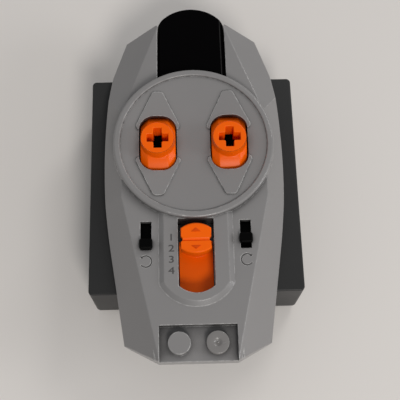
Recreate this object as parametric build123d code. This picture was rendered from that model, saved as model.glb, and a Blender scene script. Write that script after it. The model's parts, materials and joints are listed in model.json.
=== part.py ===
from build123d import *
import math
import os

# Hand controller for a toy train set: a light shell on a dark battery base, two sprung
# joysticks in a round dish, a four-position channel slider and two direction switches.
# X is to the right, Y points at the far end with the infrared window, Z is up, and the
# origin is on the table under the middle of the whole controller. Millimetres.

os.makedirs("parts", exist_ok=True)

# Driving dimensions
grid = 8.0                    # pitch of the studs and of the cross sockets' brick grid
half_length = 43.0            # middle to either end
base_width = 6 * grid
base_length = 52.7
base_top = 18.0               # top of the base, where the shell sits
base_mid_y = -0.8
base_wall = 1.6
shell_top = 25.7              # level top of the shell
shell_wall = 1.3
facet_slope = 1.067           # drop of the side facets per millimetre outwards
dish_y = 5.4                  # middle of the round dish and of both joysticks
dish_radius = 18.0
rim_width = 1.5
rim_roll = 0.55                # round on the rim's outer edge
rim_top = 27.3
dish_depth = 1.4              # rim top to the lowest point of the dished floor
dish_underside = 24.9
slot_lip_z = 25.5             # underside of the thin lip round each joystick's slot
stick_x = grid                # joysticks to either side of the middle
stick_top = 29.5
hinge_z = 17.9
arrow_height = 0.3             # how far the arrow plates stand above the dish's floor
slot_size = (8.5, 13.3)
slot_corner = 3.5
slot_relief = 0.7             # how much wider the slot is below its lip
skirt_radius = 9.65           # middle band of a joystick's curved skirt
skirt_side_radius = 8.5       # the skirt at its two sides
skirt_band = 2.3              # half the middle band's width
head_radius = 3.75
stick_half_width = 3.95
axle_radius = 1.0
window_half_width = grid
stud_radius = 2.4
stud_height = 1.7
stud_y = -39.3
light_stem_radius = 1.1
recess_half_width = 8.2
recess_far_y = -35.6
recess_floor = shell_top - stud_height
plateau_top = 26.5
plateau_half_width = 8.05
plateau_end_y = -31.8
channel_half_width = 3.9
channel_y = (-29.0, -12.6)
slider_step = 2.45            # one channel number to the next
knob_y = -17.6                # middle of the slider's knob at channel 1
knob_cap_z = (25.4, 27.7)
strip_z = (21.7, 22.5)
tab_y = knob_y + 5.0          # the channel switch's tab, beyond the knob
switch_x = 10.8
switch_slot = (2.4, 6.4)
switch_slot_y = -16.1
lever_left_y = -18.1
lever_right_y = -17.2
lever_travel = 4.0
board_z = (14.9, 16.1)
deck_z = (13.4, 14.6)
cell_radius = 5.25
cell_length = 44.5
cell_pitch = 10.75
cell_z = 7.3
bay_half_width = 16.6
bay_y = (base_mid_y - 24.4, base_mid_y + 24.4)
cover_thickness = 1.6
cover_tongue_y = -24.0         # where the cover's side tongues start
screw_places = [(x, y) for x in (-14.9, 14.9) for y in (-20.0, 18.0)]
board_screw_places = [(-11.6, -22.8), (11.6, 21.0)]
boss_radius = 1.9
case_screw_radius = 0.8
fit = 0.05                    # radial clearance of a pin in its hole
big = 200.0

base_y = (base_mid_y - base_length / 2, base_mid_y + base_length / 2)


def save(shape, name, colour):
    """Write one piece to its own file."""
    shape.label = name
    shape.color = Color(*colour)
    export_step(shape, f"parts/{name}.step")


def block(x, y, z):
    """Box between two limits along each axis."""
    size = [span[1] - span[0] for span in (x, y, z)]
    middle = [(span[1] + span[0]) / 2 for span in (x, y, z)]
    return Pos(*middle) * Box(*size)


def upright(x, y, z, radius):
    """Cylinder along Z between two heights."""
    return Pos(x, y, (z[0] + z[1]) / 2) * Cylinder(radius, z[1] - z[0])


def across(x, y, z, radius):
    """Cylinder along X between two limits."""
    return Pos((x[0] + x[1]) / 2, y, z) * Rot(0, 90, 0) * Cylinder(radius, x[1] - x[0])


def along(x, y, z, radius):
    """Cylinder along Y between two limits."""
    return Pos(x, (y[0] + y[1]) / 2, z) * Rot(90, 0, 0) * Cylinder(radius, y[1] - y[0])


def beyond(point, normal):
    """Everything on the outer side of a plane."""
    plane = Plane(origin=point, z_dir=normal)
    return plane * Pos(0, 0, big / 2) * Box(big, big, big)


def both(shape):
    """A shape and its mirror image across the middle."""
    return shape + mirror(shape, about=Plane.YZ)


def closed_face(edges):
    """Face inside a closed run of edges."""
    return make_face([edge.edge() for edge in edges])


def rounded(width, length, corner, height, z):
    """Upright block with rounded corners, its foot at z."""
    return Pos(0, 0, z) * extrude(RectangleRounded(width, length, corner), amount=height)


# ---------------------------------------------------------------- shell outline

outline = [
    (8.35, -half_length),
    (15.9, -38.6),
    (19.0, -17.6),
    (20.45, 3.8),
    (18.8, 25.1),
    (15.72, 35.3),
    (8.75, 38.35),
]


def outline_face():
    """Plan view of the shell, straight at both ends and bowed beside the dish."""
    low, corner, waist, side, shoulder, tip, nose = outline
    right = [
        Line(low, corner),
        Line(corner, waist),
        ThreePointArc(waist, side, shoulder),
        Line(shoulder, tip),
        Line(tip, nose),
    ]
    left = [mirror(edge, about=Plane.YZ).edge() for edge in right]
    ends = [Line((-low[0], low[1]), low), Line((-nose[0], nose[1]), nose)]
    return closed_face(right + left + ends)


# Crease points and outward directions of the slanted faces, right-hand side
crease_user = (8.4, -41.9, shell_top)
crease_waist = (14.2, -15.9, shell_top)
crease_side = (16.2, dish_y, shell_top)
far_crease = (15.3, 16.2, 25.35)
far_slope = 0.124
slope_start_y = 13.5


def slanted(direction_x, direction_y):
    """Outward normal of a facet that drops by facet_slope going outwards in plan."""
    length = math.hypot(direction_x, direction_y)
    return (direction_x / length * facet_slope, direction_y / length * facet_slope, 1.0)


user_run = (crease_waist[0] - crease_user[0], crease_waist[1] - crease_user[1])
side_facets = [
    (crease_user, slanted(user_run[1], -user_run[0])),
    (crease_side, slanted(1.0, 0.0)),
    (far_crease, (0.60, 0.325, 1.0)),
]
end_facets = [
    ((0, slope_start_y, shell_top), (0, far_slope, 1.0)),
    ((0, -half_length, 20.6), (0, -2.6, -3.5)),
    ((0, 38.95, 20.4), (0, 2.4, -2.9)),
]


def shell_block(inset, foot):
    """The shell's outer form, or the hollow inside it when inset by the wall."""
    face = outline_face()
    if inset:
        face = offset(face, -inset, kind=Kind.INTERSECTION)
    body = Pos(0, 0, foot) * extrude(face, amount=shell_top - inset - foot)
    for point, normal in side_facets:
        length = math.sqrt(sum(part * part for part in normal))
        inner = [place - inset * part / length for place, part in zip(point, normal)]
        body -= both(beyond(inner, normal))
    for point, normal in end_facets:
        length = math.sqrt(sum(part * part for part in normal))
        inner = [place - inset * part / length for place, part in zip(point, normal)]
        body -= beyond(inner, normal)
    return body


# Middles of the creases to roll, right-hand side, and the radius of each run
rolled_creases = [
    ([(20.4, 5.5, 21.2), (19.6, -12.5, 20.8), (12.1, -40.8, 22.1),
      (19.3, 21.8, 21.2), (17.3, 30.2, 19.6), (12.2, 36.8, 20.5)], 0.3),
    ([(16.2, 3.3, 25.7), (12.2, -25.0, 25.7)], 0.4),
    ([(12.0, 25.9, 24.2)], 0.5),
]


def roll_creases(body):
    """Roll the shell's long creases, the same on both sides."""
    for places, radius in rolled_creases:
        run = []
        for x, y, z in places:
            for side in (1, -1):
                spot = Vector(side * x, y, z)
                run.append(min(body.edges(), key=lambda edge: (edge.center() - spot).length))
        body = fillet(run, radius)
    return body


def dish_bowl(lift):
    """The ball that hollows the dish, lifted to lay the arrow plates on its floor."""
    inner = dish_radius - rim_width
    sag = 0.9
    ball = (inner * inner + sag * sag) / (2 * sag)
    return Pos(0, dish_y, rim_top - dish_depth + ball + lift) * Sphere(ball)


def slot_block(side, grow, z):
    """Rounded opening around one joystick."""
    width, length = (size + 2 * grow for size in slot_size)
    shape = rounded(width, length, slot_corner + grow, z[1] - z[0], z[0])
    return Pos(side * stick_x, dish_y, 0) * shape


def arrow_plate(side, way):
    """Rounded triangle beside a joystick that points along its travel."""
    corners = [(-5.45, 3.3), (5.45, 3.3), (1.1, 12.6), (-1.1, 12.6)]
    face = make_face(Polyline(*corners, close=True))
    face = fillet(face.vertices(), 0.9)
    tall = extrude(face, amount=rim_top + 1.0)
    placed = Pos(side * stick_x, dish_y, 0) * Rot(0, 0, 0 if way > 0 else 180) * tall
    return placed


def plateau():
    """Raised tongue around the channel slider, with sloping sides and a bowed end."""
    start = -26.9
    width = plateau_half_width
    edges = [
        Line((-width, -8.0), (-width, start)),
        ThreePointArc((-width, start), (0, plateau_end_y), (width, start)),
        Line((width, start), (width, -8.0)),
        Line((width, -8.0), (-width, -8.0)),
    ]
    face = closed_face(edges)
    height = plateau_top - shell_top
    tongue = Pos(0, 0, shell_top) * extrude(face, amount=height, taper=54.0)
    return fillet(tongue.edges().group_by(Axis.Z)[-1], 0.3)


def channel_block(grow, z, start_y):
    """The slider's channel, square at the dish and bowed at the user's end."""
    width = channel_half_width + grow
    side_end = channel_y[0] + 1.6
    end = channel_y[0] - grow
    edges = [
        Line((-width, start_y), (-width, side_end)),
        ThreePointArc((-width, side_end), (0, end), (width, side_end)),
        Line((width, side_end), (width, start_y)),
        Line((width, start_y), (-width, start_y)),
    ]
    return Pos(0, 0, z[0]) * extrude(closed_face(edges), amount=z[1] - z[0])


def stud(side, foot):
    """Brick stud with a small round at its top edge."""
    knob = upright(side * grid / 2, stud_y, (foot, shell_top), stud_radius)
    return fillet(knob.edges().sort_by(Axis.Z)[-1], 0.15)


def turn_mark(side):
    """Shallow open ring that shows which way the train's direction turns."""
    middle = (side * 10.85, -21.8)
    ring = Cylinder(1.36, 0.5) - Cylinder(1.12, 0.5)
    gap = Pos(side * 1.25, 0, 0) * Box(1.1, 1.5, 0.6)
    return Pos(middle[0], middle[1], shell_top) * (ring - gap)


def shell_bosses(radius, z):
    """Screw pillars inside the shell."""
    pillars = [upright(x, y, z, radius) for x, y in screw_places]
    return pillars[0] + pillars[1:]


def top_shell():
    """Light-grey upper shell with dish, plateau, stud recess and prongs."""
    outer = roll_creases(shell_block(0, base_top))
    wall = shell_wall
    disc = Cone(dish_radius + 0.35, dish_radius, rim_top - 21.0)
    disc = fillet(disc.edges().sort_by(Axis.Z)[-1], rim_roll)
    outer += Pos(0, dish_y, (rim_top + 21.0) / 2) * disc
    outer += plateau()
    hollow = shell_block(wall, base_top - 1.0)
    dish_hollow = upright(0, dish_y, (base_top - 1, dish_underside), dish_radius - wall)
    shell = outer - hollow - dish_hollow
    # guide walls down the sides of the channel, and the tray under the studs
    guide = channel_block(1.0, (22.9, plateau_top - 0.5), channel_y[1] + 1.0)
    shell += guide
    tray = block((-9.4, 9.4), (-half_length + 0.4, recess_far_y + 1.2), (22.9, 25.0))
    shell += tray
    boss_foot = deck_z[1] + 0.1
    shell += shell_bosses(boss_radius, (boss_foot, 24.9)) & shell_block(0, boss_foot)
    shell -= shell_bosses(case_screw_radius + fit, (boss_foot - 1, 21.0))
    # dish floor, then its arrow plates, then the joystick openings
    inner_radius = dish_radius - rim_width
    shell -= upright(0, dish_y, (25, rim_top + 3), inner_radius) & dish_bowl(0)
    plates = [arrow_plate(side, way) for side in (1, -1) for way in (1, -1)]
    plate_layer = upright(0, dish_y, (25.2, rim_top), inner_radius) - dish_bowl(arrow_height)
    for plate in plates:
        shell += plate & plate_layer
    for side in (1, -1):
        shell -= slot_block(side, 0, (23.0, rim_top + 2))
        shell -= slot_block(side, slot_relief, (23.0, slot_lip_z))
        shell -= Pos(side * switch_x, switch_slot_y, 20) * Box(*switch_slot, 20)
        shell -= turn_mark(side)
    shell -= channel_block(0, (22.0, rim_top), channel_y[1])
    # recess with its two studs, open towards the user
    recess = block(
        (-recess_half_width, recess_half_width), (-half_length - 2, recess_far_y), (recess_floor, 30)
    )
    shell -= recess
    shell += stud(-1, recess_floor - 0.3)
    shell -= upright(grid / 2, stud_y, (20, 30), light_stem_radius + fit)
    # gap for the infrared window
    gap = block((-window_half_width - 0.1, window_half_width + 0.1), (18, 60), (10, 40))
    shell -= gap - upright(0, dish_y, (5, 50), dish_radius + 0.35)
    rim_inside = [
        edge for edge in shell.edges().filter_by(GeomType.CIRCLE)
        if abs(edge.center().Z - rim_top) < 0.02 and abs(edge.radius - inner_radius) < 0.05
    ]
    return fillet(rim_inside, 0.3)


def ir_window():
    """Black infrared window: a bowed nose between the prongs, hollow inside."""
    half = window_half_width
    corner_y = 38.3

    def plan(inset):
        width = half - inset
        edges = [
            Line((-width, 10), (-width, corner_y)),
            ThreePointArc((-width, corner_y), (0, half_length - inset), (width, corner_y)),
            Line((width, corner_y), (width, 10)),
            Line((width, 10), (-width, 10)),
        ]
        return closed_face(edges)

    def form(inset, foot):
        body = Pos(0, 0, foot) * extrude(plan(inset), amount=30 - foot)
        body -= beyond((0, slope_start_y, shell_top - inset), (0, far_slope, 1.0))
        return body

    body = form(0, base_top)
    for side in (1, -1):
        body -= beyond((side * half, slope_start_y, shell_top - 0.7), (side * 0.8, far_slope, 1.0))
    body -= form(1.2, base_top + 0.8)
    body -= upright(0, dish_y, (5, 50), dish_radius + 0.45)
    return body


# ---------------------------------------------------------------- joysticks

def cross_prism(width, arm, z):
    """Cross-shaped prism of an axle socket, rounded where its arms meet."""
    cross = Rectangle(width, arm) + Rectangle(arm, width)
    meeting = [v for v in cross.vertices() if max(abs(v.X), abs(v.Y)) < arm]
    cross = fillet(meeting, 0.35)
    return Pos(0, 0, z[0]) * extrude(cross, amount=z[1] - z[0])


def joystick(side):
    """Orange joystick: round head with a cross socket on a hollow curved skirt."""
    half = stick_half_width
    cheek = 1.2
    inner = half - cheek
    profile = Polyline(
        (-half, 0), (-half, skirt_side_radius), (-skirt_band, skirt_radius),
        (skirt_band, skirt_radius), (half, skirt_side_radius), (half, 0), close=True,
    )
    skirt = Pos(0, 0, hinge_z) * revolve(make_face(profile), axis=Axis.X)
    skirt -= across((-inner, inner), 0, hinge_z, skirt_radius - cheek)
    skirt -= block((-big, big), (-big, big), (0, hinge_z + 3.5))
    cheeks = across((-half, half), 0, hinge_z, 1.6)
    cheeks += block((-half, half), (-5.2, 5.2), (hinge_z + 0.1, hinge_z + 4.2))
    skirt += cheeks - block((-inner, inner), (-9, 9), (0, hinge_z + 6))
    head = upright(0, 0, (hinge_z + 7.0, stick_top), head_radius)
    head = chamfer(head.edges().sort_by(Axis.Z)[-1], 0.15)
    stick = skirt + head
    stick -= cross_prism(4.83, 1.83, (hinge_z + 6, stick_top + 1))
    stick -= across((-9, 9), 0, hinge_z, axle_radius + fit)
    return Pos(side * stick_x, dish_y, 0) * stick


def joystick_axle(side):
    """Steel pin through a joystick's cheeks and the cradle's posts."""
    pin = across((2.3, 13.7), dish_y, hinge_z, axle_radius)
    pin = chamfer(pin.edges(), 0.2)
    return pin if side > 0 else mirror(pin, about=Plane.YZ)


def joystick_cradle():
    """Frame that carries both joystick axles above the board."""
    frame_z = (board_z[1] + 0.3, board_z[1] + 1.3)
    frame = block((-17.0, 17.0), (dish_y - 8.4, dish_y + 8.4), frame_z)
    frame = fillet(frame.edges().filter_by(Axis.Z), 1.5)
    for side in (1, -1):
        frame -= Pos(side * stick_x, dish_y, frame_z[0]) * Box(9.4, 14.2, 5)
        for x in ((2.1, 3.2), (12.8, 13.9)):
            post = block(x, (dish_y - 2.2, dish_y + 2.2), (frame_z[0], hinge_z + 1.9))
            post = fillet(post.edges().filter_by(Axis.X).group_by(Axis.Z)[-1], 1.2)
            frame += post if side > 0 else mirror(post, about=Plane.YZ)
        for y in (dish_y - 6.6, dish_y + 6.6):
            foot = block((15.0, 16.6), (y - 1.2, y + 1.2), (deck_z[1], frame_z[1]))
            frame += foot if side > 0 else mirror(foot, about=Plane.YZ)
    frame -= across((-20, 20), dish_y, hinge_z, axle_radius)
    return frame


def contact_pad():
    """Rubber sheet on the board with a dome under each end of each joystick."""
    sheet = block((-12.6, 12.6), (dish_y - 6.8, dish_y + 6.8), (board_z[1], board_z[1] + 0.25))
    sheet = fillet(sheet.edges().filter_by(Axis.Z), 1.0)
    for side in (1, -1):
        sheet -= Pos(side * stick_x, dish_y, board_z[1]) * Box(8.8, 4.0, 2)
        for way in (1, -1):
            place = Pos(side * stick_x, dish_y + way * 4.5, board_z[1] + 0.4)
            sheet += place * Cone(2.2, 1.7, 0.4)
    return sheet


# ---------------------------------------------------------------- channel slider

def knob_face(half_width, back, front, bow):
    """Plan view of the slider's knob, bowed at both ends."""
    edges = [
        Line((-half_width, bow - front), (-half_width, back - bow)),
        ThreePointArc((-half_width, back - bow), (0, back), (half_width, back - bow)),
        Line((half_width, back - bow), (half_width, bow - front)),
        ThreePointArc((half_width, bow - front), (0, -front), (-half_width, bow - front)),
    ]
    return closed_face(edges)


def channel_slider():
    """Orange slider: ridged knob on a strip that covers the channel."""
    half = 3.3
    cap = Pos(0, 0, knob_cap_z[0]) * extrude(
        knob_face(half, 3.7, 3.1, 1.15), amount=knob_cap_z[1] - knob_cap_z[0]
    )
    cap = chamfer(cap.edges().group_by(Axis.Z)[-1], 0.3)
    # thumb hollow, with a groove across it that ends in a notch at each side
    cap -= across((-9, 9), 0, knob_cap_z[1] + 15.7, 15.95)
    groove = make_face(Polyline((-0.35, -0.55), (-0.2, 0.5), (0.95, 0.5), close=True))
    cap -= Pos(0, 0, knob_cap_z[1] - 0.25) * (Plane.YZ * extrude(groove, amount=9, both=True))
    for way in (1, -1):
        cap -= upright(way * (half + 0.35), 0.15, (24, 30), 0.75)
    neck = Pos(0, 0, strip_z[0]) * extrude(
        knob_face(half - 0.3, 3.3, 2.6, 1.1), amount=knob_cap_z[0] - strip_z[0]
    )
    knob = Pos(0, knob_y, 0) * (cap + neck)
    strip = block((-3.7, 3.7), (-29.6, knob_y + 1.0), strip_z)
    post = block((-1.0, 1.0), (knob_y - 1.5, knob_y + 1.5), (18.8, strip_z[0]))
    arm = block((-1.6, 1.6), (knob_y - 1.5, tab_y + 1.9), (18.8, 20.3))
    arm -= block((-0.85, 0.85), (tab_y - 0.85, tab_y + 0.85), (17, 21))
    return knob + strip + post + arm


def slider_guide():
    """Plate under the channel that the slider's strip runs on."""
    plate = block((-6.4, 6.4), (-32.5, -9.5), (20.5, 21.6))
    plate = fillet(plate.edges().filter_by(Axis.Z), 1.0)
    plate -= block((-1.3, 1.3), (-28.6, -13.6), (20, 22))
    for side in (1, -1):
        for y in (-23.6, -11.0):
            plate += Pos(side * 5.6, y, (20.8 + board_z[1]) / 2) * Box(1.4, 2.0, 20.8 - board_z[1])
    return plate


def slider_detent():
    """Leaf spring that clicks the slider into its four places."""
    leaf = block((3.85, 4.05), (-27.4, -16.0), (22.0, 22.5))
    foot = block((3.85, 5.2), (-27.4, -26.2), (21.6, 21.8))
    return leaf + foot + block((3.85, 4.05), (-27.4, -26.2), (21.6, 22.2))


def channel_switch():
    """Body of the four-position switch on the board."""
    ends = (tab_y - 3 * slider_step - 3.0, tab_y + 3.0)
    body = block((-2.6, 2.6), ends, (board_z[1], 18.3))
    body -= block((-0.9, 0.9), (ends[0] + 1.0, ends[1] - 1.0), (16.9, 19))
    for y in (ends[0] + 0.5, ends[1] - 0.5):
        for side in (1, -1):
            body += Pos(side * 2.75, y, board_z[1] + 0.35) * Box(0.5, 0.5, 0.7)
    return body


def channel_switch_tab():
    """Sliding tab of the channel switch, caught in the slider's fork."""
    tab = block((-0.8, 0.8), (tab_y - 0.8, tab_y + 0.8), (17.0, 20.2))
    wiper = block((-0.8, 0.8), (tab_y - 1.8, tab_y + 1.8), (17.0, 17.8))
    return tab + wiper


# ---------------------------------------------------------------- direction switches

def direction_lever(side, y):
    """Black lever: a ridged head above the shell and a blade that closes the slot."""
    blade = block((-1.4, 1.4), (-5.4, 5.4), (22.9, 23.6))
    stem = block((-1.0, 1.0), (-1.1, 1.1), (22.0, 26.2))
    head = block((-1.42, 1.42), (-1.15, 1.15), (25.95, 27.0))
    head = fillet(head.edges().filter_by(Axis.Z), 0.5)
    head = chamfer(head.edges().group_by(Axis.Z)[-1], 0.25)
    fork = block((-1.0, 1.0), (-1.6, 1.6), (18.8, 23.0))
    fork -= block((-2, 2), (-0.65, 0.65), (18, 20.6))
    return Pos(side * switch_x, y, 0) * (blade + stem + head + fork)


def direction_switch(side, y):
    """Body of a direction switch, on the board under its lever."""
    middle = y + lever_travel / 2
    body = block((-2.1, 2.1), (-4.6, 4.6), (board_z[1], 18.5))
    body -= block((-0.7, 0.7), (-3.9, 3.9), (16.9, 19))
    for way in (1, -1):
        for y in (-3.2, 3.2):
            body += Pos(way * 2.1, y, board_z[1] + 0.35) * Box(0.4, 0.5, 0.7)
    return Pos(side * switch_x, middle, 0) * body


def direction_tab(side, y):
    """Sliding tab of a direction switch, caught in its lever's fork."""
    tab = block((-0.6, 0.6), (-0.6, 0.6), (17.0, 20.4))
    tab += block((-0.6, 0.6), (-1.4, 1.4), (17.0, 17.8))
    return Pos(side * switch_x, y, 0) * tab


# ---------------------------------------------------------------- base

def base_form():
    """Outer form of the base, rounded under its edges."""
    form = block((-base_width / 2, base_width / 2), base_y, (0, base_top))
    form = fillet(form.edges().filter_by(Axis.Z), 1.0)
    form = fillet(form.edges().group_by(Axis.Z)[0], 2.0)
    form = fillet(form.edges().group_by(Axis.Z)[-1], 0.35)
    return form


def belly(z0, z1, inset):
    """Plate that closes the shell from below past the ends of the base."""
    face = offset(outline_face(), -inset, kind=Kind.INTERSECTION)
    plate = Pos(0, 0, z0) * extrude(face, amount=z1 - z0)
    plate -= beyond((0, 36.2, base_top), (0, 1, 0))
    plate -= beyond((0, -39.3, base_top), (0, -1, 0))
    return plate


def rib(end, way):
    """Upright triangle that stiffens a floor plate against the base's end."""
    corners = [(end, 10.0), (end, base_top - 1.0), (end + way * 9.0, base_top - 1.0)]
    face = make_face(Polyline(*corners, close=True))
    return Plane.YZ * extrude(face, amount=0.6, both=True)


def base_housing():
    """Dark-grey base: battery bay below, deck, and floor plates under the overhangs."""
    outer = base_form()
    half = base_width / 2
    outer += belly(base_top - 1.4, base_top, 0.5)
    for way, end in ((-1, base_y[0]), (1, base_y[1])):
        for x in (-9.0, 0.0, 9.0):
            outer += Pos(x, 0, 0) * rib(end, way)
    inner_y = (base_y[0] + base_wall, base_y[1] - base_wall)
    upper = block((-half + base_wall, half - base_wall), inner_y, (deck_z[1], base_top - 1.4))
    top_hole = (Pos(0, 0, base_top - 1.6) * extrude(
        offset(outline_face(), -2.4, kind=Kind.INTERSECTION), amount=5
    )) & block((-half, half), inner_y, (10, 30))
    bay = block((-bay_half_width, bay_half_width), bay_y, (-1, deck_z[0]))
    body = outer - upper - top_hole - bay
    # opening and grooves for the sliding cover
    body -= cover_plate(0.15, base_y[0] - 1)
    body -= block((-17.0, 17.0), (base_y[0] - 1, bay_y[0] + 2), (-1, 1.75))
    for x, y in screw_places:
        body -= upright(x, y, (deck_z[0] - 1, base_top + 1), 0.95)
        body -= upright(x, y, (deck_z[1], base_top + 1), 2.05)
    for x, y in board_screw_places:
        body += upright(x, y, (deck_z[1] - 0.2, board_z[0]), 1.8)
        body -= upright(x, y, (deck_z[0] + 0.2, board_z[0] + 1), 0.9)
    # cradles between the cells
    for x in (-cell_pitch / 2, cell_pitch / 2):
        body += block((x - 0.5, x + 0.5), bay_y, (cell_z + 3.6, deck_z[0] + 0.4))
    return body


def cover_plate(grow, tongue_start):
    """Sliding battery cover's plate with its side tongues, grown for its opening."""
    top = cover_thickness + grow
    plate = block((-16.6 - grow, 16.6 + grow), (base_y[0] - 1, 23.2 + grow), (-grow, top))
    tongue = block((-17.6 - grow, 17.6 + grow), (tongue_start, 22.6 + grow), (0.6 - grow, top - 0.25))
    return plate + tongue


def battery_cover():
    """Battery cover with grip ridges, flush with the base's rounded underside."""
    cover = cover_plate(0, cover_tongue_y) & base_form()
    for step in range(5):
        y = -22.0 + 1.3 * step
        cover -= Pos(0, y, 0) * Rot(0, 90, 0) * Cylinder(0.35, 16)
    return cover


def cell(column):
    """One cylindrical cell with its raised end, lying along the controller."""
    way = 1 if column % 2 else -1
    nub = 1.0
    can = along(0, (-cell_length / 2, cell_length / 2 - nub), 0, cell_radius)
    can = fillet(can.edges(), 0.5)
    can += along(0, (cell_length / 2 - nub - 0.1, cell_length / 2), 0, 1.9)
    y = way * (24.4 - 0.5 - cell_length / 2) + base_mid_y
    turned = Rot(0, 0, 0 if way > 0 else 180) * can
    return Pos((column - 1) * cell_pitch, y, cell_z) * turned


def plus_contact(column):
    """Flat contact at a cell's raised end."""
    way = 1 if column % 2 else -1
    y = base_mid_y + way * 24.2
    x = (column - 1) * cell_pitch
    return block((x - 3.6, x + 3.6), (y - 0.2, y + 0.2), (3.4, 12.6))


def minus_contact(column):
    """Contact plate with its coil spring at a cell's flat end."""
    way = -1 if column % 2 else 1
    y = base_mid_y + way * 24.2
    x = (column - 1) * cell_pitch
    plate = block((x - 3.6, x + 3.6), (y - 0.2, y + 0.2), (3.4, 12.6))
    wire = 0.3
    length = 2.7
    path = Helix(pitch=0.95, height=length, radius=2.6)
    start = path @ 0
    section = Plane(origin=start, z_dir=path % 0) * Circle(wire)
    coil = sweep(section, path=path, is_frenet=True)
    coil = Pos(x, y - way * 0.35, cell_z) * Rot(90 * way, 0, 0) * coil
    return plate + coil


# ---------------------------------------------------------------- electronics

def circuit_board():
    """Board across the deck, notched for the cradle's and the screws' pillars."""
    board = block((-14.4, 14.4), (-24.9, 23.4), board_z)
    board = fillet(board.edges().filter_by(Axis.Z), 1.0)
    for x, y in screw_places:
        board -= upright(x, y, (10, 20), 2.1)
    for x, y in board_screw_places:
        board -= upright(x, y, (10, 20), 0.95)
    return board


def board_screw(x, y):
    """Small pan-head screw through the board."""
    shank = upright(x, y, (deck_z[0] + 0.2, board_z[1]), 0.9)
    return shank + upright(x, y, (board_z[1], board_z[1] + 0.8), 1.7)


def case_screw(x, y):
    """Screw from the battery bay, through the deck and up into the shell."""
    screw = upright(x, y, (deck_z[0] - 0.5, 20.8), case_screw_radius)
    head_z = deck_z[0] - 1.25
    head = upright(x, y, (head_z, deck_z[0]), 1.65)
    head -= Pos(x, y, head_z) * Box(2.2, 0.5, 1.2)
    head -= Pos(x, y, head_z) * Box(0.5, 2.2, 1.2)
    return screw + head


def chip():
    """Controller chip with its legs."""
    body = block((-3.9, 3.9), (16.1, 20.1), (board_z[1] + 0.2, board_z[1] + 1.9))
    for step in range(6):
        x = -3.1 + 1.24 * step
        for y in (15.6, 20.6):
            body += Pos(x, y, board_z[1] + 0.3) * Box(0.45, 1.2, 0.6)
    return body


def ir_led(side):
    """Infrared diode behind the window, on bent leads from the board."""
    x = side * 3.4
    z = 20.35
    body = along(x, (29.4, 34.2), z, 1.3) + Pos(x, 34.2, z) * Sphere(1.3)
    body += along(x, (28.8, 29.5), z, 1.45)
    for shift in (-0.6, 0.6):
        wire = (x + shift - 0.2, x + shift + 0.2)
        body += block(wire, (22.4, 28.9), (z - 0.2, z + 0.2))
        body += block(wire, (22.2, 22.6), (board_z[1], z + 0.2))
    return body


def indicator_led():
    """Small light under the right-hand stud, on leads along the floor plate."""
    x = grid / 2
    body = upright(x, stud_y, (20.8, 21.9), 0.85)
    for shift in (-0.4, 0.4):
        wire = (x + shift - 0.15, x + shift + 0.15)
        body += block(wire, (stud_y, -36.9), (20.6, 20.9))
        body += block(wire, (-37.2, -36.9), (18.1, 20.9))
        body += block(wire, (-37.2, -24.2), (18.1, 18.4))
        body += block(wire, (-24.5, -24.2), (board_z[1], 18.4))
    return body


def light_pipe():
    """Right-hand stud with its stem, which brings the indicator's light to the top."""
    return stud(1, recess_floor) + upright(grid / 2, stud_y, (22.0, recess_floor), light_stem_radius)


def capacitor():
    """Upright electrolytic capacitor at the board's edge."""
    can = upright(9.8, -6.6, (board_z[1], 20.6), 2.0)
    return fillet(can.edges(), 0.3)


def resonator():
    """Three-legged resonator beside the chip."""
    body = block((6.6, 12.0), (16.9, 19.1), (board_z[1] + 0.1, board_z[1] + 2.9))
    return fillet(body.edges().filter_by(Axis.Z), 0.8)


def chip_resistors():
    """Row of small resistors on the board."""
    places = [(-12.0 + 2.2 * step, -6.2) for step in range(5)]
    parts = [Pos(x, y, board_z[1] + 0.3) * Box(1.2, 2.0, 0.6) for x, y in places]
    return Compound(children=parts)


# ---------------------------------------------------------------- build all pieces

light_grey = (0.56, 0.55, 0.54)
dark_grey = (0.16, 0.16, 0.17)
black = (0.02, 0.02, 0.02)
orange = (0.95, 0.36, 0.05)
steel = (0.70, 0.71, 0.73)
green = (0.06, 0.32, 0.16)
rubber = (0.20, 0.20, 0.20)
clear = (0.85, 0.88, 0.90)
copper = (0.80, 0.55, 0.25)

save(top_shell(), "top_shell", light_grey)
save(base_housing(), "base_housing", dark_grey)
save(battery_cover(), "battery_cover", dark_grey)
save(ir_window(), "ir_window", black)
save(joystick_cradle(), "joystick_cradle", dark_grey)
save(contact_pad(), "contact_pad", rubber)
save(channel_slider(), "channel_slider", orange)
save(slider_guide(), "slider_guide", light_grey)
save(slider_detent(), "slider_detent", steel)
save(channel_switch(), "channel_switch", steel)
save(channel_switch_tab(), "channel_switch_tab", black)
save(circuit_board(), "circuit_board", green)
save(chip(), "controller_chip", black)
save(indicator_led(), "indicator_led", clear)
save(light_pipe(), "light_pipe", clear)
save(capacitor(), "capacitor", dark_grey)
save(resonator(), "resonator", copper)
save(chip_resistors(), "chip_resistors", black)
for side, name, lever_y in ((-1, "left", lever_left_y), (1, "right", lever_right_y)):
    save(joystick(side), f"joystick_{name}", orange)
    save(joystick_axle(side), f"joystick_axle_{name}", steel)
    save(direction_lever(side, lever_y), f"direction_lever_{name}", black)
    save(direction_switch(side, lever_left_y), f"direction_switch_{name}", steel)
    save(direction_tab(side, lever_y), f"direction_tab_{name}", black)
    save(ir_led(side), f"ir_led_{name}", clear)
for column, name in enumerate(("left", "middle", "right")):
    save(cell(column), f"cell_{name}", copper)
    save(plus_contact(column), f"plus_contact_{name}", steel)
    save(minus_contact(column), f"minus_contact_{name}", steel)
save(Compound(children=[case_screw(x, y) for x, y in screw_places]), "case_screws", steel)
save(Compound(children=[board_screw(x, y) for x, y in board_screw_places]), "board_screws", steel)
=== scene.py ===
import bpy
import bmesh
import json
import math
from mathutils import Matrix, Vector


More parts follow.
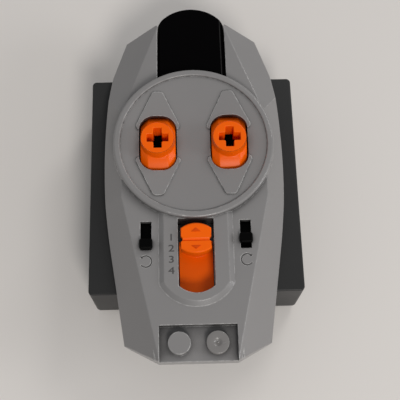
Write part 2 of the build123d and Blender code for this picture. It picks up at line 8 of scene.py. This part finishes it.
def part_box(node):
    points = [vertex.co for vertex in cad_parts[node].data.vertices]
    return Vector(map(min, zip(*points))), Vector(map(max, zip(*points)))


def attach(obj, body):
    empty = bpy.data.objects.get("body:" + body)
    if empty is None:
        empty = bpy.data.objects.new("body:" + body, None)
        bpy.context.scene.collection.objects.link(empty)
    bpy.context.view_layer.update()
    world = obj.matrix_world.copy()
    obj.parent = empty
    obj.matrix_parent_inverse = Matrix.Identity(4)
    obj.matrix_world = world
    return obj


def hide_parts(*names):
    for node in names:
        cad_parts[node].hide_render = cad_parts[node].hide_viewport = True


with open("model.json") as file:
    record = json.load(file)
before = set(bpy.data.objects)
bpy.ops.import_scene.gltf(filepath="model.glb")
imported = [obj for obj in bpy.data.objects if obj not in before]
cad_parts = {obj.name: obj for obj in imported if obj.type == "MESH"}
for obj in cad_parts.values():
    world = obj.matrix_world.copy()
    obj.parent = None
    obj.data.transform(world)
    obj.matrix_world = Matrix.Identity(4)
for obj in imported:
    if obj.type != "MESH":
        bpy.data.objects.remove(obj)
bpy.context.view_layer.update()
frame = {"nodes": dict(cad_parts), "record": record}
nodes = frame["nodes"]
slotOf = {part["node"]: part["material_slot"] for part in frame["record"]["subparts"]}
bodyOf = {
    node: body
    for body, members in frame["record"]["behaviour"]["bodies"].items()
    for node in members
}
mm = 0.001
print("frame loaded:", len(nodes), "nodes")


# ---- camera, floor and light

cameraLook = {
    "place": (-1.978, -65.442, 187.291), "tilt": 19.553, "yaw": -3.071, "roll": 1.649,
    "lens": 70.24, "sensor": 36, "nearest": 0.01, "farthest": 20,
}
studio = {
    "floorColour": (0.74, 0.705, 0.675), "floorSize": 2.4, "floorDrop": 0.00002, "floorRoughness": 0.85,
    "keyPower": 2.7, "keyPlace": (0.14, -0.54, 0.60), "keySize": 0.24,
    "topPower": 1.5, "topPlace": (0.40, 0.62, 0.56), "topSize": 0.30,
    "sidePower": 0.9, "sidePlace": (0.62, -0.10, 0.30), "sideSize": 0.24,
    "keyColour": (1.0, 0.97, 0.93), "topColour": (1.0, 0.98, 0.95), "sideColour": (0.97, 0.98, 1.0),
    "skyColour": (0.96, 0.98, 1.0), "skyStrength": 0.36,
}


def makeCamera(look):
    tilt, yaw, roll = (math.radians(look[key]) for key in ("tilt", "yaw", "roll"))
    turn = Matrix.Rotation(yaw, 3, "Z")
    ahead = turn @ Vector((0, math.sin(tilt), -math.cos(tilt)))
    upward = turn @ Vector((0, math.cos(tilt), math.sin(tilt)))
    sideways = turn @ Vector((1, 0, 0))
    right = math.cos(roll) * sideways + math.sin(roll) * upward
    top = math.cos(roll) * upward - math.sin(roll) * sideways
    data = bpy.data.cameras.new("mainCamera")
    data.lens = look["lens"]
    data.sensor_width = look["sensor"]
    data.clip_start, data.clip_end = look["nearest"], look["farthest"]
    camera = bpy.data.objects.new("mainCamera", data)
    bpy.context.scene.collection.objects.link(camera)
    turned = Matrix((right, top, -ahead)).transposed().to_4x4()
    camera.matrix_world = Matrix.Translation(Vector(look["place"]) * mm) @ turned
    bpy.context.scene.camera = camera
    return camera


def makeAreaLight(name, place, aim, size, power, colour):
    data = bpy.data.lights.new(name, "AREA")
    data.shape = "DISK"
    data.size, data.energy, data.color = size, power, colour
    light = bpy.data.objects.new(name, data)
    bpy.context.scene.collection.objects.link(light)
    light.location = place
    light.rotation_mode = "QUATERNION"
    light.rotation_quaternion = (Vector(aim) - Vector(place)).to_track_quat("-Z", "Y")
    return light


def makeFloor(look):
    mesh = bpy.data.meshes.new("floor")
    half = look["floorSize"] / 2
    drop = look["floorDrop"]
    corners = [(-half, -half, -drop), (half, -half, -drop), (half, half, -drop), (-half, half, -drop)]
    mesh.from_pydata(corners, [], [(0, 1, 2, 3)])
    floor = bpy.data.objects.new("floor", mesh)
    bpy.context.scene.collection.objects.link(floor)
    material = bpy.data.materials.new("floorPaper")
    material.use_nodes = True
    shader = material.node_tree.nodes["Principled BSDF"]
    shader.inputs["Base Color"].default_value = (*look["floorColour"], 1)
    shader.inputs["Roughness"].default_value = look["floorRoughness"]
    mesh.materials.append(material)
    return floor


def makeSky(look):
    world = bpy.data.worlds.new("studioSky")
    bpy.context.scene.world = world
    world.use_nodes = True
    sky = world.node_tree.nodes["Background"]
    sky.inputs["Color"].default_value = (*look["skyColour"], 1)
    sky.inputs["Strength"].default_value = look["skyStrength"]


makeCamera(cameraLook)
makeFloor(studio)
for name in ("key", "top", "side"):
    makeAreaLight(
        name + "Light", studio[name + "Place"], (0, 0, 0),
        studio[name + "Size"], studio[name + "Power"], studio[name + "Colour"],
    )
makeSky(studio)
bpy.context.scene.view_settings.view_transform = "Standard"
print("camera, floor and lights placed")


# ---- shared shader groups

wearAndHighlightTuning = {
    "flatLean": 0.995, "cornerLean": 0.90, "samples": 4, "detail": 3, "patchLow": 0.35,
    "patchHigh": 0.65,
}
grainTuning = {"grainDetail": 4, "grainRoughness": 0.6, "waveDetail": 1}
driftTuning = {"detail": 5, "roughness": 0.55, "middle": 0.5}
creviceTuning = {"samples": 8, "closed": 0.40, "open": 0.90}


def newGroup(name, inputs, outputs):
    group = bpy.data.node_groups.new(name, "ShaderNodeTree")
    for label, kind, value in inputs:
        socket = group.interface.new_socket(label, in_out="INPUT", socket_type=kind)
        socket.default_value = value
    for label, kind in outputs:
        group.interface.new_socket(label, in_out="OUTPUT", socket_type=kind)
    start = group.nodes.new("NodeGroupInput")
    end = group.nodes.new("NodeGroupOutput")
    return group, start, end


def addNode(tree, kind, **settings):
    node = tree.nodes.new(kind)
    for key, value in settings.items():
        setattr(node, key, value)
    return node


def makeEdgeWearAndHighlight():
    # edge mask from how far the rounded normal leans away from the face, broken up by noise: partly rubbed
    # wear, partly a painted highlight along the edges
    group, start, end = newGroup(
        "edgeWear",
        [
            ("Radius", "NodeSocketFloat", 0.0004),
            ("Amount", "NodeSocketFloat", 0.5),
            ("Break Up", "NodeSocketFloat", 900.0),
        ],
        [("Mask", "NodeSocketFloat")],
    )
    rounded = addNode(group, "ShaderNodeBevel", samples=wearAndHighlightTuning["samples"])
    flat = addNode(group, "ShaderNodeNewGeometry")
    lean = addNode(group, "ShaderNodeVectorMath", operation="DOT_PRODUCT")
    spread = addNode(group, "ShaderNodeMapRange")
    spread.inputs["From Min"].default_value = wearAndHighlightTuning["flatLean"]
    spread.inputs["From Max"].default_value = wearAndHighlightTuning["cornerLean"]
    coords = addNode(group, "ShaderNodeTexCoord")
    noise = addNode(group, "ShaderNodeTexNoise")
    noise.inputs["Detail"].default_value = wearAndHighlightTuning["detail"]
    broken = addNode(group, "ShaderNodeMapRange")
    broken.inputs["From Min"].default_value = wearAndHighlightTuning["patchLow"]
    broken.inputs["From Max"].default_value = wearAndHighlightTuning["patchHigh"]
    both = addNode(group, "ShaderNodeMath", operation="MULTIPLY")
    amount = addNode(group, "ShaderNodeMath", operation="MULTIPLY", use_clamp=True)
    link = group.links.new
    link(start.outputs["Radius"], rounded.inputs["Radius"])
    link(rounded.outputs["Normal"], lean.inputs[0])
    link(flat.outputs["Normal"], lean.inputs[1])
    link(lean.outputs["Value"], spread.inputs["Value"])
    link(coords.outputs["Object"], noise.inputs["Vector"])
    link(start.outputs["Break Up"], noise.inputs["Scale"])
    link(noise.outputs["Fac"], broken.inputs["Value"])
    link(spread.outputs["Result"], both.inputs[0])
    link(broken.outputs["Result"], both.inputs[1])
    link(both.outputs["Value"], amount.inputs[0])
    link(start.outputs["Amount"], amount.inputs[1])
    link(amount.outputs["Value"], end.inputs["Mask"])
    return group


def makeMouldedGrain():
    # fine spark-eroded grain over slow unevenness, as one height
    group, start, end = newGroup(
        "mouldedGrain",
        [
            ("Grain Scale", "NodeSocketFloat", 6000.0),
            ("Wave Scale", "NodeSocketFloat", 160.0),
            ("Wave Share", "NodeSocketFloat", 0.5),
        ],
        [("Height", "NodeSocketFloat")],
    )
    coords = addNode(group, "ShaderNodeTexCoord")
    grain = addNode(group, "ShaderNodeTexNoise")
    grain.inputs["Detail"].default_value = grainTuning["grainDetail"]
    grain.inputs["Roughness"].default_value = grainTuning["grainRoughness"]
    wave = addNode(group, "ShaderNodeTexNoise")
    wave.inputs["Detail"].default_value = grainTuning["waveDetail"]
    mixed = addNode(group, "ShaderNodeMix", data_type="FLOAT")
    link = group.links.new
    link(coords.outputs["Object"], grain.inputs["Vector"])
    link(coords.outputs["Object"], wave.inputs["Vector"])
    link(start.outputs["Grain Scale"], grain.inputs["Scale"])
    link(start.outputs["Wave Scale"], wave.inputs["Scale"])
    link(start.outputs["Wave Share"], mixed.inputs["Factor"])
    link(grain.outputs["Fac"], mixed.inputs["A"])
    link(wave.outputs["Fac"], mixed.inputs["B"])
    link(mixed.outputs["Result"], end.inputs["Height"])
    return group


def makeColourDrift():
    # the base colour drifting a little lighter and darker
    group, start, end = newGroup(
        "colourDrift",
        [
            ("Colour", "NodeSocketColor", (0.5, 0.5, 0.5, 1)),
            ("Drift", "NodeSocketFloat", 0.06),
            ("Scale", "NodeSocketFloat", 70.0),
        ],
        [("Colour", "NodeSocketColor"), ("Patch", "NodeSocketFloat")],
    )
    coords = addNode(group, "ShaderNodeTexCoord")
    cloud = addNode(group, "ShaderNodeTexNoise")
    cloud.inputs["Detail"].default_value = driftTuning["detail"]
    cloud.inputs["Roughness"].default_value = driftTuning["roughness"]
    offCentre = addNode(group, "ShaderNodeMath", operation="SUBTRACT")
    offCentre.inputs[1].default_value = driftTuning["middle"]
    scaled = addNode(group, "ShaderNodeMath", operation="MULTIPLY_ADD")
    scaled.inputs[2].default_value = 1.0
    doubled = addNode(group, "ShaderNodeMath", operation="MULTIPLY")
    doubled.inputs[1].default_value = 2.0
    tinted = addNode(group, "ShaderNodeVectorMath", operation="SCALE")
    link = group.links.new
    link(coords.outputs["Object"], cloud.inputs["Vector"])
    link(start.outputs["Scale"], cloud.inputs["Scale"])
    link(cloud.outputs["Fac"], offCentre.inputs[0])
    link(start.outputs["Drift"], doubled.inputs[0])
    link(offCentre.outputs["Value"], scaled.inputs[0])
    link(doubled.outputs["Value"], scaled.inputs[1])
    link(start.outputs["Colour"], tinted.inputs[0])
    link(scaled.outputs["Value"], tinted.inputs["Scale"])
    link(tinted.outputs["Vector"], end.inputs["Colour"])
    link(cloud.outputs["Fac"], end.inputs["Patch"])
    return group


def makeCreviceShade():
    # painted shade: soft darkness, from ambient occlusion, where faces close in on each other
    group, start, end = newGroup(
        "creviceShade",
        [
            ("Colour", "NodeSocketColor", (0.5, 0.5, 0.5, 1)),
            ("Reach", "NodeSocketFloat", 0.003),
            ("Depth", "NodeSocketFloat", 0.5),
        ],
        [("Colour", "NodeSocketColor")],
    )
    closed = addNode(group, "ShaderNodeAmbientOcclusion", samples=creviceTuning["samples"])
    lift = addNode(group, "ShaderNodeMapRange")
    lift.inputs["From Min"].default_value = creviceTuning["closed"]
    lift.inputs["From Max"].default_value = creviceTuning["open"]
    floorLevel = addNode(group, "ShaderNodeMath", operation="SUBTRACT", use_clamp=True)
    floorLevel.inputs[0].default_value = 1.0
    shaded = addNode(group, "ShaderNodeVectorMath", operation="SCALE")
    link = group.links.new
    link(start.outputs["Reach"], closed.inputs["Distance"])
    link(start.outputs["Depth"], floorLevel.inputs[1])
    link(closed.outputs["AO"], lift.inputs["Value"])
    link(floorLevel.outputs["Value"], lift.inputs["To Min"])
    link(start.outputs["Colour"], shaded.inputs[0])
    link(lift.outputs["Result"], shaded.inputs["Scale"])
    link(shaded.outputs["Vector"], end.inputs["Colour"])
    return group


edgeWear = makeEdgeWearAndHighlight()
creviceShade = makeCreviceShade()
mouldedGrain = makeMouldedGrain()
colourDrift = makeColourDrift()


def placeGroup(tree, group, **values):
    node = tree.nodes.new("ShaderNodeGroup")
    node.node_tree = group
    for label, value in values.items():
        node.inputs[label].default_value = value
    return node


def makePlastic(name, look):
    material = bpy.data.materials.new(name)
    material.use_nodes = True
    tree = material.node_tree
    link = tree.links.new
    shader = tree.nodes["Principled BSDF"]
    drift = placeGroup(
        tree, colourDrift, Colour=(*look["colour"], 1), Drift=look["drift"], Scale=look["driftScale"]
    )
    wear = placeGroup(tree, edgeWear, Radius=look["wearRadius"], Amount=look["wear"])
    grain = placeGroup(tree, mouldedGrain)
    grain.inputs["Grain Scale"].default_value = look["grainScale"]
    grain.inputs["Wave Share"].default_value = look["waveShare"]
    # lighter colour on the edges: rubbed wear together with a painted edge highlight
    wornAndLitEdge = addNode(tree, "ShaderNodeMix", data_type="RGBA")
    wornAndLitEdge.inputs["B"].default_value = (*look["wornColour"], 1)
    gloss = addNode(tree, "ShaderNodeMapRange")
    gloss.inputs["From Min"].default_value = look["glossFrom"]
    gloss.inputs["From Max"].default_value = look["glossTo"]
    gloss.inputs["To Min"].default_value = look["roughness"] - look["roughnessSpread"]
    gloss.inputs["To Max"].default_value = look["roughness"] + look["roughnessSpread"]
    bump = addNode(tree, "ShaderNodeBump")
    bump.inputs["Strength"].default_value = look["bump"]
    bump.inputs["Distance"].default_value = look["bumpDepth"]
    if look.get("rolledEdge"):
        rolled = addNode(tree, "ShaderNodeBevel", samples=look["rolledSamples"])
        rolled.inputs["Radius"].default_value = look["rolledEdge"]
        link(rolled.outputs["Normal"], bump.inputs["Normal"])
    link(drift.outputs["Colour"], wornAndLitEdge.inputs["A"])
    link(wear.outputs["Mask"], wornAndLitEdge.inputs["Factor"])
    # painted shade: the base colour darkened where faces close in
    if look.get("crevice"):
        shade = placeGroup(tree, creviceShade, Reach=look["creviceReach"], Depth=look["crevice"])
        link(wornAndLitEdge.outputs["Result"], shade.inputs["Colour"])
        link(shade.outputs["Colour"], shader.inputs["Base Color"])
    else:
        link(wornAndLitEdge.outputs["Result"], shader.inputs["Base Color"])
    link(grain.outputs["Height"], bump.inputs["Height"])
    link(bump.outputs["Normal"], shader.inputs["Normal"])
    link(drift.outputs["Patch"], gloss.inputs["Value"])
    link(gloss.outputs["Result"], shader.inputs["Roughness"])
    shader.inputs["Specular IOR Level"].default_value = look.get("specular", 0.5)
    shader.inputs["Metallic"].default_value = look.get("metallic", 0.0)
    shader.inputs["Coat Weight"].default_value = look.get("coat", 0.0)
    shader.inputs["Coat Roughness"].default_value = look.get("coatRoughness", 0.1)
    return material


plasticBase = {
    "drift": 0.04, "driftScale": 60.0, "wear": 0.25, "wearRadius": 0.00035, "grainScale": 5200.0,
    "waveShare": 0.3, "glossFrom": 0.3, "glossTo": 0.7, "rolledSamples": 6,
    "roughness": 0.42, "roughnessSpread": 0.05, "bump": 0.12, "bumpDepth": 0.00006,
}
metalBase = {
    **plasticBase, "metallic": 1.0, "roughness": 0.28, "wear": 0.4, "grainScale": 2600.0, "bump": 0.08,
}
finishLooks = {
    # shellGrey's pale edge colour at strong wear paints a highlight along its edges
    "shellGrey": {
        **plasticBase, "colour": (0.232, 0.224, 0.223), "wornColour": (0.60, 0.59, 0.58), "wear": 1.5,
        "wearRadius": 0.00028, "rolledEdge": 0.0003, "roughness": 0.34, "coat": 0.2, "coatRoughness": 0.14,
        # painted shade in the shell's recesses and creases
        "crevice": 0.8, "creviceReach": 0.0032,
    },
    "baseDark": {
        **plasticBase, "colour": (0.021, 0.021, 0.021), "wornColour": (0.055, 0.054, 0.052),
        "roughness": 0.44, "specular": 0.35,
    },
    "windowBlack": {
        **plasticBase, "colour": (0.001, 0.0008, 0.001), "wornColour": (0.02, 0.02, 0.022),
        "roughness": 0.16, "roughnessSpread": 0.03, "bump": 0.03, "specular": 0.03,
    },
    "controlOrange": {
        **plasticBase, "colour": (0.96, 0.128, 0.001), "wornColour": (1.0, 0.24, 0.02), "wear": 0.5,
        "wearRadius": 0.00022, "roughness": 0.30, "specular": 0.14,
    },
    # a darker orange than the knob: painted shade for the arrows
    "arrowOrange": {
        **plasticBase, "colour": (0.70, 0.072, 0.001), "wornColour": (0.8, 0.14, 0.01),
        "roughness": 0.4, "specular": 0.12,
    },
    "leverBlack": {
        **plasticBase, "colour": (0.001, 0.001, 0.001), "wornColour": (0.012, 0.012, 0.012),
        "roughness": 0.40, "specular": 0.05,
    },
    # dark grey for the numerals and turning marks: painted shade where the moulding is shadowed
    "markDark": {
        **plasticBase, "colour": (0.072, 0.069, 0.069), "wornColour": (0.12, 0.12, 0.12),
        "roughness": 0.55, "specular": 0.3,
    },
    "lensGrey": {
        **plasticBase, "colour": (0.20, 0.19, 0.185), "wornColour": (0.34, 0.33, 0.32), "wear": 0.4,
        "roughness": 0.24, "roughnessSpread": 0.04, "coat": 0.2, "coatRoughness": 0.1,
    },
    "pinSteel": {**metalBase, "colour": (0.55, 0.56, 0.58), "wornColour": (0.72, 0.72, 0.72)},
    "switchMetal": {
        **metalBase, "colour": (0.60, 0.60, 0.61), "wornColour": (0.75, 0.75, 0.75), "roughness": 0.36,
    },
    "contactNickel": {
        **metalBase, "colour": (0.66, 0.64, 0.60), "wornColour": (0.8, 0.78, 0.74), "roughness": 0.2,
    },
    "screwZinc": {
        **metalBase, "colour": (0.62, 0.63, 0.66), "wornColour": (0.8, 0.8, 0.8), "roughness": 0.32,
    },
    "padRubber": {
        **plasticBase, "colour": (0.03, 0.03, 0.032), "wornColour": (0.06, 0.06, 0.06),
        "roughness": 0.72,
    },
    "boardGreen": {
        **plasticBase, "colour": (0.006, 0.07, 0.026), "wornColour": (0.03, 0.14, 0.07), "coat": 0.4,
    },
    "componentBlack": {**plasticBase, "colour": (0.012, 0.012, 0.013), "wornColour": (0.04, 0.04, 0.04)},
    "componentAmber": {
        **plasticBase, "colour": (0.42, 0.16, 0.02), "wornColour": (0.6, 0.3, 0.08), "coat": 0.3,
    },
    "clearPlastic": {
        **plasticBase, "colour": (0.62, 0.64, 0.66), "wornColour": (0.8, 0.8, 0.8), "roughness": 0.12,
    },
    "cellWrap": {
        **plasticBase, "colour": (0.02, 0.022, 0.026), "wornColour": (0.1, 0.1, 0.1),
        "roughness": 0.22, "coat": 0.3,
    },
}
finishes = {name: makePlastic(name, look) for name, look in finishLooks.items()}


def finishOfSlot(slotName):
    # shell_grey becomes shellGrey
    words = slotName.split("_")
    return words[0] + "".join(word.title() for word in words[1:])
print("finishes made")


# ---- moulded pieces: the sharp CAD edges softened with a small rolled edge
# a flat face with a hole in it can break here: base_housing's does, across its battery opening

softening = {"mergeWithin": 3e-6, "flatAngle": 0.5, "sharpAngle": 28.0, "steps": 3, "normalWeight": 60}
edgeRoll = {
    "base": 0.2 * mm, "window": 0.25 * mm, "cover": 0.12 * mm,
    "slider": 0.1 * mm, "stick": 0.18 * mm, "lever": 0.1 * mm,
}


def softenedPiece(node, name, finish, radius, look=softening):
    mesh = bmesh.new()
    mesh.from_mesh(nodes[node].data)
    bmesh.ops.remove_doubles(mesh, verts=mesh.verts, dist=look["mergeWithin"])
    bmesh.ops.dissolve_limit(
        mesh, angle_limit=math.radians(look["flatAngle"]), verts=mesh.verts, edges=mesh.edges
    )
    sharpest = math.radians(look["sharpAngle"])
    sharp = [edge for edge in mesh.edges if len(edge.link_faces) == 2 and edge.calc_face_angle(0) > sharpest]
    bmesh.ops.bevel(
        mesh, geom=sharp, offset=radius, offset_type="OFFSET", segments=look["steps"], profile=0.5,
        affect="EDGES", clamp_overlap=False, loop_slide=False,
    )
    data = bpy.data.meshes.new(name)
    mesh.to_mesh(data)
    mesh.free()
    data.polygons.foreach_set("use_smooth", [True] * len(data.polygons))
    piece = bpy.data.objects.new(name, data)
    bpy.context.scene.collection.objects.link(piece)
    weighted = piece.modifiers.new("evenNormals", "WEIGHTED_NORMAL")
    weighted.weight = look["normalWeight"]
    data.materials.append(finishes[finish])
    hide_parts(node)
    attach(piece, bodyOf[node])
    print("softened", node, len(data.polygons), "faces")
    return piece


def finishNode(node, finish):
    data = nodes[node].data
    data.materials.clear()
    data.materials.append(finishes[finish])


softenedPiece("base_housing", "baseBox", "baseDark", edgeRoll["base"])
softenedPiece("ir_window", "irWindow", "windowBlack", edgeRoll["window"])
softenedPiece("battery_cover", "batteryDoor", "baseDark", edgeRoll["cover"])
softenedPiece("channel_slider", "channelKnob", "controlOrange", edgeRoll["slider"])
for side in ("left", "right"):
    stick, lever = "joystick_" + side, "direction_lever_" + side
    softenedPiece(stick, "joystick" + side.title(), "controlOrange", edgeRoll["stick"])
    softenedPiece(lever, "directionLever" + side.title(), "leverBlack", edgeRoll["lever"])
for node in nodes:
    if not nodes[node].hide_render:
        finishNode(node, finishOfSlot(slotOf[node]))


# ---- channel numbers beside the slider: thin dark sheets, painted shade standing in for the shadowed moulded numerals

numberLook = {
    "height": 1.55 * mm, "widen": 1.3, "depth": 0.03 * mm, "besideSlot": 1.65 * mm,
    "fromTab": 4.25 * mm, "step": 2.45 * mm, "belowRim": 0.8 * mm, "count": 4, "capShare": 0.72,
}


def makeNumbers(look):
    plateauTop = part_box("top_shell")[1].z - look["belowRim"]
    tabLow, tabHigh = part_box("channel_switch_tab")
    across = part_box("channel_slider")[0].x - look["besideSlot"]
    firstAlong = (tabLow.y + tabHigh.y) / 2 - look["fromTab"]
    parts = []
    for index in range(look["count"]):
        text = bpy.data.curves.new("digit", "FONT")
        text.body = str(index + 1)
        text.size = look["height"] / look["capShare"]
        text.align_x, text.align_y = "CENTER", "CENTER"
        text.extrude = look["depth"] / 2
        digit = bpy.data.objects.new("digit", text)
        bpy.context.scene.collection.objects.link(digit)
        digit.location = (across, firstAlong - index * look["step"], plateauTop + look["depth"] / 2)
        digit.scale = (look["widen"], 1.0, 1.0)
        parts.append(digit)
    bpy.context.view_layer.update()
    mesh = bmesh.new()
    for digit in parts:
        solved = digit.evaluated_get(bpy.context.evaluated_depsgraph_get())
        flat = bpy.data.meshes.new_from_object(solved)
        flat.transform(digit.matrix_world)
        mesh.from_mesh(flat)
        bpy.data.meshes.remove(flat)
        bpy.data.objects.remove(digit)
    data = bpy.data.meshes.new("channelNumbers")
    mesh.to_mesh(data)
    mesh.free()
    # the numerals' dark finish is painted shade
    data.materials.append(finishes["markDark"])
    numbers = bpy.data.objects.new("channelNumbers", data)
    bpy.context.scene.collection.objects.link(numbers)
    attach(numbers, "housing")
    return numbers


makeNumbers(numberLook)


# ---- turning marks: a dark open ring with two arrow barbs over each engraved groove, painted shade standing in for the shade inside it

turnLook = {
    "radius": 1.24 * mm, "width": 0.16 * mm, "outward": 0.05 * mm, "belowSwitch": 5.7 * mm,
    "openHalfAngle": 38.0, "barb": 0.38 * mm, "barbLean": 48.0, "barbShare": 0.9,
    "height": 0.02 * mm,
}


def flatPiece(name, outlines, low, high, finish, body):
    # closed plan outlines raised between two heights
    mesh = bmesh.new()
    for outline in outlines:
        bottom = [mesh.verts.new((x, y, low)) for x, y in outline]
        top = [mesh.verts.new((x, y, high)) for x, y in outline]
        count = len(outline)
        mesh.faces.new(top)
        mesh.faces.new(list(reversed(bottom)))
        for i in range(count):
            j = (i + 1) % count
            mesh.faces.new((bottom[i], bottom[j], top[j], top[i]))
    bmesh.ops.recalc_face_normals(mesh, faces=mesh.faces)
    data = bpy.data.meshes.new(name)
    mesh.to_mesh(data)
    mesh.free()
    data.materials.append(finishes[finish])
    piece = bpy.data.objects.new(name, data)
    bpy.context.scene.collection.objects.link(piece)
    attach(piece, body)
    return piece


def ringOutline(centre, radius, width, startAngle, endAngle, steps=36):
    turn = endAngle - startAngle
    angles = [math.radians(startAngle + turn * i / steps) for i in range(steps + 1)]
    outside, inside = radius + width / 2, radius - width / 2
    outer = [(centre[0] + math.cos(a) * outside, centre[1] + math.sin(a) * outside) for a in angles]
    inner = [(centre[0] + math.cos(a) * inside, centre[1] + math.sin(a) * inside) for a in angles]
    return outer + list(reversed(inner))


def strokeOutline(start, end, width):
    way = Vector((end[0] - start[0], end[1] - start[1])).normalized()
    across = Vector((-way.y, way.x)) * width / 2
    return [
        (start[0] + across.x, start[1] + across.y),
        (start[0] - across.x, start[1] - across.y),
        (end[0] - across.x, end[1] - across.y),
        (end[0] + across.x, end[1] + across.y),
    ]


def makeTurnMark(side, name, switch, look):
    low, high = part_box(switch)
    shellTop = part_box("light_pipe")[1].z
    centre = ((low.x + high.x) / 2 + side * look["outward"], (low.y + high.y) / 2 - look["belowSwitch"])
    middle = 0 if side > 0 else 180
    start, end = middle + look["openHalfAngle"], middle + 360 - look["openHalfAngle"]
    outlines = [ringOutline(centre, look["radius"], look["width"], start, end)]
    tipAngle = math.radians(start if side > 0 else end)
    tip = (centre[0] + math.cos(tipAngle) * look["radius"], centre[1] + math.sin(tipAngle) * look["radius"])
    for lean in (-1, 1):
        barbAngle = tipAngle + side * math.radians(90) + lean * math.radians(look["barbLean"])
        barbEnd = (tip[0] + math.cos(barbAngle) * look["barb"], tip[1] + math.sin(barbAngle) * look["barb"])
        outlines.append(strokeOutline(tip, barbEnd, look["width"] * look["barbShare"]))
    markTop = shellTop + look["height"]
    # the dark ring paints the groove's shade
    return flatPiece(name, outlines, shellTop, markTop, "markDark", "housing")


makeTurnMark(-1, "turnMarkLeft", "direction_switch_left", turnLook)
makeTurnMark(1, "turnMarkRight", "direction_switch_right", turnLook)


# ---- arrows standing on the slider's knob, in a darker orange that paints shade onto them

arrowLook = {
    "halfWidth": 1.1 * mm, "length": 0.95 * mm, "farStart": 1.65 * mm, "nearStart": 1.3 * mm,
    "height": 0.16 * mm, "fromTab": 5.0 * mm, "hollowRadius": 15.95 * mm, "hollowLift": 15.7 * mm,
    "taper": 0.12 * mm, "narrow": 0.86, "sunk": 0.1 * mm, "roll": 0.04 * mm,
}


def makeKnobArrows(look):
    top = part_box("channel_slider")[1].z
    tabLow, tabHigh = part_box("channel_switch_tab")
    middle = (tabLow.y + tabHigh.y) / 2 - look["fromTab"]
    mesh = bmesh.new()
    for way in (1, -1):
        near = look["farStart"] if way > 0 else look["nearStart"]
        far = near + look["length"]
        plan = [(-look["halfWidth"], near), (look["halfWidth"], near), (0.0, far)]
        floors = [
            min(top, top + look["hollowLift"] - math.sqrt(look["hollowRadius"] ** 2 - y * y))
            for _, y in plan
        ]
        low = [mesh.verts.new((x, middle + way * y, z - look["sunk"])) for (x, y), z in zip(plan, floors)]
        inward = [look["taper"] if y == near else -look["taper"] for _, y in plan]
        high = [
            mesh.verts.new((x * look["narrow"], middle + way * (y + shift), z + look["height"]))
            for (x, y), shift, z in zip(plan, inward, floors)
        ]
        mesh.faces.new(high)
        mesh.faces.new(low)
        for i in range(3):
            j = (i + 1) % 3
            mesh.faces.new((low[i], low[j], high[j], high[i]))
    bmesh.ops.recalc_face_normals(mesh, faces=mesh.faces)
    bmesh.ops.bevel(
        mesh, geom=list(mesh.edges), offset=look["roll"], segments=2, affect="EDGES", clamp_overlap=True
    )
    data = bpy.data.meshes.new("knobArrows")
    mesh.to_mesh(data)
    mesh.free()
    data.materials.append(finishes["arrowOrange"])
    arrows = bpy.data.objects.new("knobArrows", data)
    bpy.context.scene.collection.objects.link(arrows)
    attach(arrows, bodyOf["channel_slider"])
    return arrows


makeKnobArrows(arrowLook)


# ---- right-hand stud: tinted lens with a small lamp dimple in its top

lensLook = {
    "radius": 2.4 * mm, "roll": 0.15 * mm, "rollAngles": (30, 60, 90), "turns": 64,
    "stem": 1.1 * mm, "stemLength": 2.0 * mm, "dimple": 0.85 * mm, "dimpleDepth": 0.42 * mm,
    "lip": 0.18 * mm, "lipDrop": 0.05 * mm, "tip": 0.24 * mm,
    "bowl": ((0.7, 0.55), (0.42, 1.0)), "tipShape": ((1.0, 1.0), (0.8, 0.45), (0.4, 0.2), (0.0, 0.15)),
    "mergeWithin": 2e-6, "crispAngle": 40.0,
}


def makeStudLens(look):
    low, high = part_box("light_pipe")
    centre = (low + high) / 2
    r, roll, dimple, depth = look["radius"], look["roll"], look["dimple"], look["dimpleDepth"]
    stem, foot = look["stem"], low.z + look["stemLength"]
    profile = [(0.0, low.z), (stem, low.z), (stem, foot), (r, foot), (r, high.z - roll)]
    for angle in (math.radians(a) for a in look["rollAngles"]):
        profile.append((r - roll + roll * math.cos(angle), high.z - roll + roll * math.sin(angle)))
    profile += [(dimple + look["lip"], high.z), (dimple, high.z - look["lipDrop"])]
    profile += [(dimple * wide, high.z - depth * down) for wide, down in look["bowl"]]
    profile += [(look["tip"] * wide, high.z - depth * down) for wide, down in look["tipShape"]]
    mesh = bmesh.new()
    line = [mesh.verts.new((centre.x + x, centre.y, z)) for x, z in profile]
    edges = [mesh.edges.new((line[i], line[i + 1])) for i in range(len(line) - 1)]
    bmesh.ops.spin(
        mesh, geom=line + edges, cent=(centre.x, centre.y, 0), axis=(0, 0, 1),
        angle=math.radians(360), steps=look["turns"],
    )
    bmesh.ops.remove_doubles(mesh, verts=mesh.verts, dist=look["mergeWithin"])
    bmesh.ops.recalc_face_normals(mesh, faces=mesh.faces)
    data = bpy.data.meshes.new("studLens")
    mesh.to_mesh(data)
    mesh.free()
    data.polygons.foreach_set("use_smooth", [True] * len(data.polygons))
    data.materials.append(finishes["lensGrey"])
    lens = bpy.data.objects.new("studLens", data)
    bpy.context.scene.collection.objects.link(lens)
    edgeSplit = lens.modifiers.new("crispEdges", "EDGE_SPLIT")
    edgeSplit.split_angle = math.radians(look["crispAngle"])
    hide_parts("light_pipe")
    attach(lens, bodyOf["light_pipe"])
    return lens


makeStudLens(lensLook)
print("marks, arrows and stud lens made")
